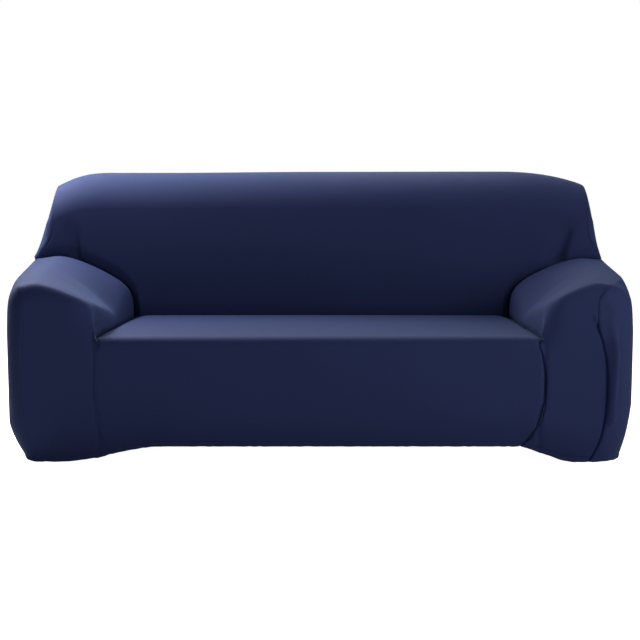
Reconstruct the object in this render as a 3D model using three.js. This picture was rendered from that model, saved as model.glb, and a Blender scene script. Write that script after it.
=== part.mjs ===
// A fitted stretch cover for a sofa: six knitted panels sewn edge to edge, hollow inside.
// Millimetres, +Z up, the front towards -Y. The origin is on the floor under the middle of the cover.

import * as THREE from 'three';

// Driving sizes
const clothThickness = 2;
const seamGap = 0.3; // between two panels that are sewn together
const frontY = -440;
const rearY = 440;
const seatHeight = 437;
const backHeight = 950;
const hemLift = 55; // the hem rises this far between the arms

// Sizes that differ from end to end. Distances across are taken outwards from the middle line. The foot
// of an arm is its steep part over the crease, as shares of the arm's rise and of its width.
const ends = {
  left: {
    sign: -1,
    seamHem: 693,
    seamBelly: 775,
    seamTop: 760,
    creaseRear: 693,
    armSeamHem: 968,
    armSeamBelly: 1020,
    armSeamTop: 1010,
    armTopSeam: 1047,
    armRiseFront: 182,
    armRiseRear: 218,
    footFront: { rise: 0.52, width: 0.1 },
    footRear: { rise: 0.38, width: 0.36 },
    sideFront: 1079,
    sideRear: 1076,
    sideTop: 1002,
    sideHemTuck: 54,
    sideHemTuckHeight: 135,
    hemLow: 2,
    hemRampStart: 560,
    hemRampEnd: 880,
    topFlat: 805,
    topTilt: 4,
  },
  right: {
    sign: 1,
    seamHem: 679,
    seamBelly: 768,
    seamTop: 747,
    creaseRear: 703,
    armSeamHem: 922,
    armSeamBelly: 977,
    armSeamTop: 940,
    armTopSeam: 1044,
    armRiseFront: 182,
    armRiseRear: 210,
    footFront: { rise: 0.53, width: 0.09 },
    footRear: { rise: 0.49, width: 0.34 },
    sideFront: 1079,
    sideRear: 1050,
    sideTop: 1012,
    sideHemTuck: 36,
    sideHemTuckHeight: 200,
    hemLow: 0,
    hemRampStart: 680,
    hemRampEnd: 870,
    topFlat: 675,
    topTilt: -1,
  },
};

// The front seams belly outwards at these heights. The powers set how sharply they turn in again.
const apronSeamForm = { bellyHeight: 300, topHeight: seatHeight, hemPower: 2, topPower: 2.2 };
const armSeamForm = { bellyHeight: 285, topHeight: 480, hemPower: 3, topPower: 2.2 };

// Seat and arms
const seatCrown = 7;
const seatEdgeRadius = 25;
const edgeDepth = 45; // the front edge of seat and arms is done within this depth
const armEdgeReach = { inner: 150, outer: 42 }; // how far back the rounding of an arm's front reaches
const armEdgeStart = 0.84; // share of the arm's rise that its front face has away from the crease
const armCornerWidth = 0.14; // share of the arm's width over which its inner front corner is drawn back
const armSectionPeak = 0.78; // across the arm, where its top is highest
const armSectionRoundness = 1.5;
const armSectionFall = 3; // how far the top falls again at the outer seam
const armFaceHeight = 565; // where the outer seam leaves the arm's front face

// Back
const backFootY = 122;
const backLean = 95;
const backLeanPower = 1.25;
const backBelly = 10; // its inner face swells by this, less and less towards its ends
const backBellyWidth = 1100;
const backEdgeRadius = 90;
const rearEdgeRadius = 45;
const backEndRise = 250; // from the arm to the top of the back's end
const backEndPower = 0.7; // how soon its outer side is drawn in over the arm
const backColumn = 740; // across, where the arm's lines run on up the back
const backEndSeam = 998;
const backTopFall = 46; // how far the top edge falls towards its ends
const backTopFallPower = 2.4;
const topTiltReach = 600; // across, where the whole tilt of the top is reached
const backLeanAtEdge = 0.27; // the slope of its face where the top begins to round

// The outer seam moves over from one line to the next within a share of a stretch.
const armTopSeamRun = 1 / 3;
const backEndSeamRun = 0.625;
const rearSeamDrawnIn = 0.6; // share of the way in to the arm's hem that the rear seam is drawn

// Hem
const hemTuck = 22; // the elastic draws the front and rear hems in
const hemTuckHeight = 120;
const hemRampSoftness = 0.7; // how much the hem's slope towards the arms eases in and out
const sideHemTuckPower = 1.3;
const sideHemLift = 14; // in the middle of each side

// Creases where the cloth is pushed down between seat, arms and back
const seatCrease = 28;
const armCrease = 20;
const creaseReach = 42;
const armPush = { out: 0.4, down: 0.8 };
const backPush = { back: 0.5, down: 0.8 };
const frontSeamGroove = 5;
const frontSeamReach = 20;

// Rounding of each outer side towards the seam that it meets, by the stretch of that seam
const sideRounding = {
  front: 95,
  frontEdge: 80,
  top: 46,
  innerBack: 62,
  backEdge: 85,
  backTop: 85,
  rearEdge: 85,
  rear: 70,
};

// Soft folds, seen from the front, each from its upper to its lower end. A ridge stands proud by its
// height there, and a trough has a negative one. left and right are the widths of its two flanks.
const backFolds = [
  { fromX: 900, fromZ: 925, fromHeight: 0, toX: 884, toZ: 670, toHeight: 12, left: 105, right: 26 },
  { fromX: 835, fromZ: 700, fromHeight: 0, toX: 850, toZ: 640, toHeight: -6, left: 26, right: 26 },
  { fromX: -945, fromZ: 880, fromHeight: 0, toX: -924, toZ: 680, toHeight: -8, left: 46, right: 34 },
];
const sideFolds = [
  { fromX: 1006, fromZ: 490, fromHeight: 0, toX: 1018, toZ: 410, toHeight: 10, left: 22, right: 22 },
  { fromX: 1018, fromZ: 410, fromHeight: 10, toX: 1010, toZ: 160, toHeight: 9, left: 22, right: 22 },
];
const sideFoldsDepth = -200; // the folds of the sides lie in front of this
const sideFoldPush = { out: 0.5, forward: 0.85 };

// How the rows of a stretch are spread along it
const rowCrowding = 1.5;
const spreads = {
  even: (share) => share,
  closeAtStart: (share) => share ** rowCrowding,
  closeAtEnd: (share) => 1 - (1 - share) ** rowCrowding,
  closeAtBothEnds: (share) => share - 0.1 * Math.sin(2 * Math.PI * share),
};

// The stretches of a lengthwise line, from the front hem over the cover to the rear hem. The rear has
// as many rows as the front and the inner back together, because the rows of the sides run through.
const stretches = [
  { name: 'front', rows: 14, spread: 'closeAtBothEnds' },
  { name: 'frontEdge', rows: 6, spread: 'even' },
  { name: 'top', rows: 9, spread: 'closeAtEnd' },
  { name: 'innerBack', rows: 9, spread: 'closeAtStart' },
  { name: 'backEdge', rows: 4, spread: 'even' },
  { name: 'backTop', rows: 2, spread: 'even' },
  { name: 'rearEdge', rows: 3, spread: 'even' },
  { name: 'rear', rows: 23, spread: 'even' },
];
const seatColumns = 6; // from the middle line to the crease at an arm
const armColumns = 11; // from that crease to the outer seam
const armCrowding = 1.35; // how much closer these columns lie at the crease

const clothMaterial = new THREE.MeshStandardMaterial({ color: 0x20264a, roughness: 0.85, metalness: 0 });

const clamp01 = (value) => Math.min(1, Math.max(0, value));
const mix = (from, to, share) => from + (to - from) * share;
const quarter = (share) => Math.sqrt(1 - (1 - clamp01(share)) ** 2);
const fade = (share) => (1 - clamp01(share)) ** 2;

function ease(share) {
  const held = clamp01(share);
  return held * held * (3 - 2 * held);
}

// A seam that bellies outwards between its hem and its top
function belliedSeam({ bellyHeight, topHeight, hemPower, topPower }, hem, belly, top, z) {
  const below = clamp01((bellyHeight - z) / bellyHeight);
  const above = clamp01((z - bellyHeight) / (topHeight - bellyHeight));
  return belly - (belly - hem) * below ** hemPower - (belly - top) * above ** topPower;
}

function apronSeamX(end, z) {
  return belliedSeam(apronSeamForm, end.seamHem, end.seamBelly, end.seamTop, z);
}

function armSeamX(end, z) {
  return belliedSeam(armSeamForm, end.armSeamHem, end.armSeamBelly, end.armSeamTop, z);
}

// Height of the hem at a distance across
function hemHeight(end, x) {
  const along = clamp01((x - end.hemRampStart) / (end.hemRampEnd - end.hemRampStart));
  return mix(hemLift, end.hemLow, mix(along, ease(along), hemRampSoftness));
}

// Share of the arm's rise at a share of the way from the crease to the outer seam
function armSection(end, across, depthShare) {
  const climb = 1 - (1 - clamp01(across / armSectionPeak)) ** armSectionRoundness;
  const foot = mix(end.footFront.rise, end.footRear.rise, depthShare);
  const width = mix(end.footFront.width, end.footRear.width, depthShare);
  return foot * quarter(across / width) + (1 - foot) * climb;
}

const depthShareAt = (y) => clamp01((y - frontY) / (backFootY - frontY));

// Height of the seat or arm. across is 0 at the crease and 1 at the arm's outer seam.
function topHeight(end, across, x, y) {
  const edge = seatEdgeRadius * (1 - quarter((y - frontY) / seatEdgeRadius));
  const depthShare = depthShareAt(y);
  if (across <= 0) {
    const crown = seatCrown * (1 - (x / end.seamBelly) ** 2) * Math.sin(Math.PI * depthShare);
    return seatHeight + crown - edge;
  }
  const rise = mix(end.armRiseFront, end.armRiseRear, depthShare);
  const outwards = ease(across / armCornerWidth);
  const reach = mix(armEdgeReach.inner, armEdgeReach.outer, outwards);
  const start = armEdgeStart * outwards;
  const front = start + (1 - start) * quarter((y - frontY) / reach);
  const fall = armSectionFall * ease((across - armSectionPeak) / (1 - armSectionPeak));
  return seatHeight - edge + rise * armSection(end, across, depthShare) * front - fall;
}

// Depth of the inner back's face
function backFaceY(x, z) {
  const climb = clamp01((z - seatHeight) / (backHeight - seatHeight));
  const belly = backBelly * Math.sin(Math.PI * climb) * (1 - (x / backBellyWidth) ** 2);
  return backFootY + backLean * climb ** backLeanPower - belly;
}

function backTopHeight(end, x) {
  const beyond = clamp01((x - end.topFlat) / (backEndSeam - end.topFlat));
  return backHeight - end.topTilt * ease(x / topTiltReach) - backTopFall * beyond ** backTopFallPower;
}

// Height of one soft fold at a place seen from the front
function foldHeight(fold, x, z) {
  const runX = fold.toX - fold.fromX;
  const runZ = fold.toZ - fold.fromZ;
  const along = ((x - fold.fromX) * runX + (z - fold.fromZ) * runZ) / (runX * runX + runZ * runZ);
  const held = clamp01(along);
  const aside = x - fold.fromX - runX * held;
  const away = Math.hypot(aside, z - fold.fromZ - runZ * held);
  const swell = Math.cos(0.5 * Math.PI * clamp01(away / (aside < 0 ? fold.left : fold.right))) ** 2;
  return mix(fold.fromHeight, fold.toHeight, held) * swell;
}

// Folds that meet or cross: the strongest one counts
function foldsHeight(folds, x, z) {
  const heights = folds.map((fold) => foldHeight(fold, x, z));
  return Math.max(0, ...heights) + Math.min(0, ...heights);
}

// How far out the lines along the seat's edge and along the outer seam lie, at a share of a stretch
function linesAcross(end, stretch, share, depthShare) {
  const faceTop = armSeamX(end, armFaceHeight);
  const shoulder = mix(faceTop, end.armTopSeam, 0.5);
  if (stretch === 'front') {
    const inner = apronSeamX(end, mix(hemLift, seatHeight, share));
    return { inner, outer: armSeamX(end, armFaceHeight * share) };
  }
  if (stretch === 'frontEdge') {
    return { inner: end.seamTop, outer: mix(faceTop, shoulder, ease(share)) };
  }
  if (stretch === 'top') {
    const inner = mix(end.seamTop, end.creaseRear, depthShare);
    return { inner, outer: mix(shoulder, end.armTopSeam, ease(share / armTopSeamRun)) };
  }
  if (stretch === 'innerBack') {
    const inner = mix(end.creaseRear, backColumn, ease(share));
    return { inner, outer: mix(end.armTopSeam, backEndSeam, ease(share / backEndSeamRun)) };
  }
  if (stretch === 'rear') {
    const drawnIn = rearSeamDrawnIn * (backEndSeam - end.armSeamHem);
    return { inner: mix(backColumn, end.creaseRear, share), outer: backEndSeam - drawnIn * share ** 3 };
  }
  return { inner: backColumn, outer: backEndSeam };
}

function acrossAt(column, lines) {
  return column <= 1 ? lines.inner * column : mix(lines.inner, lines.outer, column - 1);
}

// Pushes a point of the seat, arm or front face down into the crease, or the seam, along the arm
function pressAtArm(end, point) {
  const depthShare = depthShareAt(point.y);
  const onTop = ease((point.y - frontY) / edgeDepth);
  const line = onTop > 0 ? mix(end.seamTop, end.creaseRear, depthShare) : apronSeamX(end, point.z);
  const aside = Math.abs(point.x - line);
  const sink = armCrease * onTop * fade(aside / creaseReach);
  point.x += armPush.out * sink;
  point.z -= armPush.down * sink;
  point.y += (1 - onTop) * frontSeamGroove * fade(aside / frontSeamReach);
}

function frontPoint(end, column, share) {
  const x = acrossAt(column, linesAcross(end, 'front', share, 0));
  const hem = hemHeight(end, x);
  const z = mix(hem, topHeight(end, Math.max(0, column - 1), x, frontY), share);
  return { x, y: frontY + hemTuck * fade((z - hem) / hemTuckHeight), z };
}

function frontEdgePoint(end, column, share) {
  const x = acrossAt(column, linesAcross(end, 'frontEdge', share, 0));
  const y = frontY + edgeDepth * (1 - Math.cos(0.5 * Math.PI * share));
  return { x, y, z: topHeight(end, Math.max(0, column - 1), x, y) };
}

// Where a lengthwise line meets the inner back
function backFoot(end, column) {
  const x = acrossAt(column, linesAcross(end, 'top', 1, 1));
  const z = topHeight(end, Math.max(0, column - 1), x, backFootY);
  return { x, y: backFaceY(x, z), z };
}

// Pushes a point down into the crease in front of the back, less and less towards the outer seam
function pressAtBack(column, point, away) {
  const depth = seatCrease * (1 - ease(column - 1)) * fade(away / creaseReach);
  point.y += backPush.back * depth;
  point.z -= backPush.down * depth;
}

function topPoint(end, column, share) {
  const foot = backFoot(end, column);
  const y = mix(frontY + edgeDepth, foot.y, share);
  const x = acrossAt(column, linesAcross(end, 'top', share, (y - frontY) / (foot.y - frontY)));
  const point = { x, y, z: topHeight(end, Math.max(0, column - 1), x, y) };
  pressAtBack(column, point, foot.y - y);
  return point;
}

function innerBackPoint(end, column, share) {
  const foot = backFoot(end, column);
  const x = acrossAt(column, linesAcross(end, 'innerBack', share, 1));
  const z = mix(foot.z, backTopHeight(end, x) - backEdgeRadius, share);
  const folds = foldsHeight(backFolds, end.sign * x, z) * Math.sqrt(Math.sin(Math.PI * share));
  const point = { x, y: backFaceY(x, z) - folds, z };
  pressAtBack(column, point, z - foot.z);
  return point;
}

// The rounded top of the back, and its rear face
function crestPoint(end, column, stretch, share) {
  const x = acrossAt(column, linesAcross(end, stretch, share, 1));
  const top = backTopHeight(end, x);
  const edgeY = backFaceY(x, top - backEdgeRadius) + backLeanAtEdge * backEdgeRadius;
  const turn = 0.5 * Math.PI * share;
  if (stretch === 'backEdge') {
    const below = backEdgeRadius * (1 - Math.sin(turn));
    return { x, y: edgeY - backLeanAtEdge * below + backEdgeRadius * (1 - Math.cos(turn)), z: top - below };
  }
  if (stretch === 'backTop') {
    return { x, y: mix(edgeY + backEdgeRadius, rearY - rearEdgeRadius, share), z: top };
  }
  if (stretch === 'rearEdge') {
    const y = rearY - rearEdgeRadius * (1 - Math.sin(turn));
    return { x, y, z: top - rearEdgeRadius * (1 - Math.cos(turn)) };
  }
  const hem = hemHeight(end, x);
  const z = mix(top - rearEdgeRadius, hem, share);
  return { x, y: rearY - hemTuck * fade((z - hem) / hemTuckHeight), z };
}

// A point of the cover. column runs from 0 at the middle line to 1 at the crease and 2 at the outer seam.
function coverPoint(end, column, stretch, share) {
  let point;
  if (stretch === 'front') {
    point = frontPoint(end, column, share);
  } else if (stretch === 'frontEdge') {
    point = frontEdgePoint(end, column, share);
  } else if (stretch === 'top') {
    point = topPoint(end, column, share);
  } else if (stretch === 'innerBack') {
    point = innerBackPoint(end, column, share);
  } else {
    point = crestPoint(end, column, stretch, share);
  }
  if (stretch === 'front' || stretch === 'frontEdge' || stretch === 'top') {
    pressAtArm(end, point);
  }
  return new THREE.Vector3(end.sign * point.x, point.y, point.z);
}

// Column places: closer together where the arm climbs out of the crease
function columnPlaces() {
  const places = [];
  for (let i = 0; i <= seatColumns; i += 1) {
    places.push(Math.sin((0.5 * Math.PI * i) / seatColumns));
  }
  for (let i = 1; i <= armColumns; i += 1) {
    places.push(1 + (i / armColumns) ** armCrowding);
  }
  return places;
}

// All rows of a lengthwise line, each with its stretch and its share of it
function rowPlaces() {
  const places = [{ stretch: 'front', share: 0 }];
  stretches.forEach(({ name, rows: count, spread }) => {
    for (let i = 1; i <= count; i += 1) {
      places.push({ stretch: name, share: spreads[spread](i / count) });
    }
  });
  return places;
}

const rowCount = Object.fromEntries(stretches.map(({ name, rows }) => [name, rows]));
const topStart = rowCount.front;
const crestRow = topStart + rowCount.frontEdge + rowCount.top; // the crease with the back
const shoulderRow = crestRow + rowCount.innerBack;
const rearRow = shoulderRow + rowCount.backEdge + rowCount.backTop + rowCount.rearEdge;
const lastRow = rearRow + rowCount.rear;
const columns = columnPlaces();
const lastColumn = columns.length - 1;
const rows = rowPlaces();

// Outer side: the depth and height of its grid come from the seams round it, the distance out from
// how far each point lies from the nearest seam.
function sideX(end, y, z) {
  const rearwards = ease((y - frontY) / (rearY - frontY));
  const full = mix(end.sideFront, end.sideRear, rearwards);
  const upwards = clamp01((z - seatHeight - end.armRiseRear) / backEndRise) ** backEndPower;
  const tuck = end.sideHemTuck * (1 - clamp01(z / end.sideHemTuckHeight)) ** sideHemTuckPower;
  return mix(full, end.sideTop, upwards) - tuck;
}

function sidePoint(end, outline, y, z) {
  let nearest = { away: Infinity };
  outline.forEach((mark, i) => {
    if (i === 0) {
      return;
    }
    const before = outline[i - 1];
    const runY = mark.y - before.y;
    const runZ = mark.z - before.z;
    const length = runY * runY + runZ * runZ;
    const along = clamp01(((y - before.y) * runY + (z - before.z) * runZ) / length);
    const away = Math.hypot(y - before.y - runY * along, z - before.z - runZ * along);
    if (away < nearest.away) {
      nearest = { away, x: mix(before.x, mark.x, along), reach: mix(before.reach, mark.reach, along) };
    }
  });
  const out = sideX(end, y, z);
  let x = mix(nearest.x, out, quarter(nearest.away / nearest.reach));
  const height = y < sideFoldsDepth ? foldsHeight(sideFolds, end.sign * x, z) : 0;
  x += sideFoldPush.out * height;
  return new THREE.Vector3(end.sign * x, y - sideFoldPush.forward * height, z);
}

// A point inside four edges, each a function of a share from 0 to 1
function inside(edges, across, up) {
  const bottom = edges.bottom(across);
  const top = edges.top(across);
  const front = edges.front(up);
  const rear = edges.rear(up);
  const corner = (key) => mix(
    mix(edges.bottom(0)[key], edges.bottom(1)[key], across),
    mix(edges.top(0)[key], edges.top(1)[key], across), up);
  const blend = (key) => mix(bottom[key], top[key], up) + mix(front[key], rear[key], across) - corner(key);
  return { y: blend('y'), z: blend('z') };
}

// The points of one half of the cover: its lengthwise grid and the two blocks of its outer side
function halfCover(end) {
  const lineAt = ({ stretch, share }) => columns.map((column) => coverPoint(end, column, stretch, share));
  const grid = rows.map(lineAt);
  const seam = grid.map((row) => row[lastColumn]);
  const outline = seam.map((point, i) => ({
    x: Math.abs(point.x),
    y: point.y,
    z: point.z,
    reach: sideRounding[rows[i].stretch],
  }));
  const endColumns = rearRow - shoulderRow;
  const lowerColumns = crestRow - topStart + endColumns;
  const rearJoint = rearRow + rowCount.innerBack;
  const at = (index) => ({ y: seam[index].y, z: seam[index].z });
  const between = (from, to, share) => ({ y: mix(from.y, to.y, share), z: mix(from.z, to.z, share) });
  const waist = (share) => between(at(crestRow), at(rearJoint), share);
  const upperLine = (column) => {
    const past = column - (crestRow - topStart);
    return past <= 0 ? at(topStart + column) : waist(past / endColumns);
  };
  const hemLine = (share) => {
    const depth = upperLine(Math.round(share * lowerColumns)).y;
    const along = (depth - frontY) / (rearY - frontY);
    const flat = between(at(0), at(lastRow), along);
    return { y: flat.y, z: flat.z + sideHemLift * Math.sin(Math.PI * along) ** 2 };
  };
  const upperEdges = {
    bottom: waist,
    top: (share) => at(shoulderRow + Math.round(share * endColumns)),
    front: (share) => at(crestRow + Math.round(share * rowCount.innerBack)),
    rear: (share) => at(rearJoint - Math.round(share * rowCount.innerBack)),
  };
  const lowerEdges = {
    bottom: hemLine,
    top: (share) => upperLine(Math.round(share * lowerColumns)),
    front: (share) => at(Math.round(share * topStart)),
    rear: (share) => at(lastRow - Math.round(share * topStart)),
  };
  const block = (edges, upCount, acrossCount, seamAt) => {
    const cells = [];
    for (let up = 0; up <= upCount; up += 1) {
      cells.push([]);
      for (let across = 0; across <= acrossCount; across += 1) {
        const seamIndex = seamAt(up, across);
        const flat = inside(edges, across / acrossCount, up / upCount);
        cells[up].push(seamIndex === null ? sidePoint(end, outline, flat.y, flat.z) : seam[seamIndex]);
      }
    }
    return cells;
  };
  const lower = block(lowerEdges, topStart, lowerColumns, (up, across) => {
    if (across === 0) {
      return up;
    }
    if (across === lowerColumns) {
      return lastRow - up;
    }
    return up === topStart && across <= crestRow - topStart ? topStart + across : null;
  });
  const upper = block(upperEdges, rowCount.innerBack, endColumns, (up, across) => {
    if (across === 0) {
      return crestRow + up;
    }
    if (across === endColumns) {
      return rearJoint - up;
    }
    return up === rowCount.innerBack ? shoulderRow + across : null;
  });
  return { grid, lower, upper };
}

// The cover's shared points, so that neighbours meet in the same seam and take the same normal there
const points = [];
const normals = [];
const pointIndex = new Map();

function sharedPoint(point) {
  const key = [point.x, point.y, point.z].map((value) => Math.round(value * 100)).join(' ');
  if (!pointIndex.has(key)) {
    pointIndex.set(key, points.length);
    points.push(point);
    normals.push(new THREE.Vector3());
  }
  return pointIndex.get(key);
}

// The four-sided faces of part of a grid, turned so that they face out
function gridFaces(grid, rowRange, columnRange, flip) {
  const faces = [];
  for (let i = rowRange[0]; i < rowRange[1]; i += 1) {
    for (let j = columnRange[0]; j < columnRange[1]; j += 1) {
      const face = [grid[i][j], grid[i][j + 1], grid[i + 1][j + 1], grid[i + 1][j]].map(sharedPoint);
      faces.push(flip ? face.reverse() : face);
    }
  }
  return faces;
}

function addNormals(faces) {
  faces.forEach((face) => {
    const [a, b, c, d] = face.map((index) => points[index]);
    const across = new THREE.Vector3().subVectors(c, a);
    const normal = new THREE.Vector3().subVectors(d, b).cross(across).negate();
    face.forEach((index) => normals[index].add(normal));
  });
}

// A panel as a closed solid: its outer face, its inner face and the cut edge all round
function panelSolid(name, faces, isSeam) {
  const edges = new Map();
  faces.forEach((face) => {
    face.forEach((from, i) => {
      const to = face[(i + 1) % 4];
      if (edges.has(`${to} ${from}`)) {
        edges.delete(`${to} ${from}`);
      } else {
        edges.set(`${from} ${to}`, [from, to]);
      }
    });
  });
  const pulls = new Map();
  edges.forEach(([from, to]) => {
    if (!isSeam(from, to)) {
      return;
    }
    const run = new THREE.Vector3().subVectors(points[to], points[from]);
    [from, to].forEach((index) => {
      const inwards = new THREE.Vector3().crossVectors(normals[index], run).normalize();
      const pull = pulls.get(index) ?? [];
      pull.push(inwards);
      pulls.set(index, pull);
    });
  });
  const outside = new Map();
  const positions = [];
  const triangles = [];
  const corner = (index, layer) => {
    const key = `${index} ${layer}`;
    if (!outside.has(key)) {
      const place = points[index].clone().addScaledVector(normals[index], -clothThickness * layer);
      const pull = pulls.get(index) ?? [];
      const sum = pull.reduce((total, next) => total.add(next), new THREE.Vector3());
      const tight = pull.length === 2 ? 1 + pull[0].dot(pull[1]) : 1;
      place.addScaledVector(sum, (0.5 * seamGap) / Math.max(0.5, tight));
      outside.set(key, positions.length / 3);
      positions.push(place.x, place.y, place.z);
    }
    return outside.get(key);
  };
  const addFace = (a, b, c, d) => triangles.push(a, b, c, a, c, d);
  faces.forEach((face) => {
    addFace(...face.map((index) => corner(index, 0)));
    const [a, b, c, d] = face.map((index) => corner(index, 1));
    triangles.push(a, c, b, a, d, c);
  });
  edges.forEach(([from, to]) => {
    const rim = [corner(to, 0), corner(from, 0), corner(from, 1), corner(to, 1)];
    if (from > to) {
      rim.push(rim.shift()); // both sides of a seam are split along the same diagonal
    }
    addFace(...rim);
  });
  const geometry = new THREE.BufferGeometry();
  geometry.setAttribute('position', new THREE.Float32BufferAttribute(positions, 3));
  geometry.setIndex(triangles);
  geometry.computeVertexNormals();
  const mesh = new THREE.Mesh(geometry, clothMaterial.clone());
  mesh.name = name;
  return mesh;
}

const left = halfCover(ends.left);
const right = halfCover(ends.right);
const halves = [
  { name: 'left', half: left, flip: true },
  { name: 'right', half: right, flip: false },
];

const panels = [
  { name: 'seat_panel', faces: [] },
  { name: 'back_panel', faces: [] },
];
halves.forEach(({ name, half, flip }) => {
  panels[0].faces.push(...gridFaces(half.grid, [0, crestRow], [0, seatColumns], flip));
  panels[1].faces.push(...gridFaces(half.grid, [crestRow, lastRow], [0, lastColumn], flip));
  panels.push({
    name: `${name}_arm_panel`,
    faces: gridFaces(half.grid, [0, crestRow], [seatColumns, lastColumn], flip),
  });
  panels.push({
    name: `${name}_side_panel`,
    faces: [
      ...gridFaces(half.lower, [0, topStart], [0, half.lower[0].length - 1], flip),
      ...gridFaces(half.upper, [0, rowCount.innerBack], [0, half.upper[0].length - 1], flip),
    ],
  });
});
panels.forEach(({ faces }) => addNormals(faces));

// A cut edge that two panels share is a seam, and any other is a hem, which is cut level
const edgeUses = new Map();
panels.forEach(({ faces }) => {
  faces.forEach((face) => {
    face.forEach((from, i) => {
      const to = face[(i + 1) % 4];
      const key = Math.min(from, to) * points.length + Math.max(from, to);
      edgeUses.set(key, (edgeUses.get(key) ?? 0) + 1);
    });
  });
});
const isSeam = (from, to) => edgeUses.get(Math.min(from, to) * points.length + Math.max(from, to)) === 2;
edgeUses.forEach((uses, key) => {
  if (uses === 1) {
    normals[key % points.length].setZ(0);
    normals[Math.floor(key / points.length)].setZ(0);
  }
});
normals.forEach((normal) => normal.normalize());

const group = new THREE.Group();
panels.forEach(({ name, faces }) => group.add(panelSolid(name, faces, isSeam)));

export default group;
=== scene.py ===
import math

import bpy
import numpy as np
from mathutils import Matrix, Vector


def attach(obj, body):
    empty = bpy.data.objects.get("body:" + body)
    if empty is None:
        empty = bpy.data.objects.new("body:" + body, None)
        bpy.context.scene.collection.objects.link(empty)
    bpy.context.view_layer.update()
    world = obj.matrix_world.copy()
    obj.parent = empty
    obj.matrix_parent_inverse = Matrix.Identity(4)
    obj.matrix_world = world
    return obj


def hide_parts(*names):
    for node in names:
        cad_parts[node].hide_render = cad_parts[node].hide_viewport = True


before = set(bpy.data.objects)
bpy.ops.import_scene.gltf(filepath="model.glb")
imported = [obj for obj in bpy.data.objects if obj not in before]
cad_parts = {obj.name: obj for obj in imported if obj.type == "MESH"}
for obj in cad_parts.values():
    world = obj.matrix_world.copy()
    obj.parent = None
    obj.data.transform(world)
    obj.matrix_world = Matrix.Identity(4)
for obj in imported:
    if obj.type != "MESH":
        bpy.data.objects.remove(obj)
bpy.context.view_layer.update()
print("solids loaded:", len(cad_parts))

# The cover's form, in millimetres, as the solids have it. x runs across, -y is the front, z is up.
coverSizes = {
    "clothThickness": 1.8,
    "seamGap": 0.02,
    "frontY": -440.0,
    "rearY": 440.0,
    "seatHeight": 437.0,
    "backHeight": 950.0,
    "hemLift": 55.0,
    "seatCrown": 7.0,
    "seatEdgeRadius": 30.0,
    "edgeDepth": 45.0,
    "armEdgeReach": {"inner": 80.0, "outer": 42.0},
    "armEdgeStart": 0.84,
    "armCornerWidth": 0.05,
    "armCornerRound": {"across": 0.34, "depth": 76.0, "height": 75.0, "run": 185.0},
    "armFootPower": 2.4,
    "armWallEnd": 0.6,
    "armSectionPeak": 0.78,
    "armSectionRoundness": 1.5,
    "armFaceHeight": 565.0,
    "backFootY": 122.0,
    "backLean": 95.0,
    "backLeanPower": 1.25,
    "backBelly": 10.0,
    "backBellyWidth": 1100.0,
    "backEdgeRadius": 118.0,
    "rearEdgeRadius": 45.0,
    "backEndRise": 250.0,
    "backEndPower": 0.7,
    "backColumn": 678.0,
    "backEndSeam": 998.0,
    "backTopFall": 46.0,
    "backTopFallPower": 2.4,
    "topTiltReach": 600.0,
    "backLeanAtEdge": 0.27,
    "armShoulder": 0.5,
    "armTopSeamRun": 1 / 3,
    "backEndSeamRun": 0.625,
    "rearSeamDrawnIn": 0.6,
    "rearSeamPower": 3,
    "hemTuck": 22.0,
    "hemTuckHeight": 120.0,
    "hemRampSoftness": 0.7,
    "sideHemTuckPower": 1.3,
    "sideHemLift": 14.0,
    "seatCrease": 28.0,
    "seatCreasePull": {"back": 0.5, "down": 0.8},
    "seatCreaseLossOnArm": 0.6,
    "armCrease": 26.0,
    "armCreasePull": {"out": 0.9, "down": 0.6},
    "creaseReach": 42.0,
    "frontSeamReach": 20.0,
}
apronSeamForm = {"bellyHeight": 300.0, "topHeight": 437.0, "hemPower": 2.6, "topPower": 2.2}
armSeamForm = {"bellyHeight": 285.0, "topHeight": 480.0, "hemPower": 3, "topPower": 2.2}

# The two ends of the cover, left and right
endSizes = {
    "sign": (-1, 1),
    "seamHem": (682.0, 630.0),
    "seamBelly": (775.0, 768.0),
    "seamTop": (760.0, 747.0),
    "creaseRear": (673.0, 682.0),
    "armSeamHem": (968.0, 922.0),
    "armSeamBelly": (1020.0, 977.0),
    "armSeamTop": (1010.0, 940.0),
    "armTopSeam": (1047.0, 1044.0),
    "armRiseFront": (182.0, 182.0),
    "armRiseRear": (218.0, 210.0),
    "armSectionFall": (9.0, 5.0),
    "sideFront": (1079.0, 1079.0),
    "sideRear": (1076.0, 1050.0),
    "sideTop": (1002.0, 1012.0),
    "sideHemTuck": (54.0, 36.0),
    "sideHemTuckHeight": (135.0, 200.0),
    "hemLow": (2.0, 0.0),
    "hemRampStart": (560.0, 680.0),
    "hemRampEnd": (880.0, 870.0),
    "topFlat": (805.0, 675.0),
    "topTilt": (4.0, -1.0),
    "frontSeamGroove": (3.0, 5.0),
    "footFront": ({"rise": 0.6, "width": 0.055}, {"rise": 0.6, "width": 0.055}),
    "footRear": ({"rise": 0.41, "width": 0.24}, {"rise": 0.45, "width": 0.28}),
}
leftEnd, rightEnd = ({key: pair[side] for key, pair in endSizes.items()} for side in (0, 1))

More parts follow.
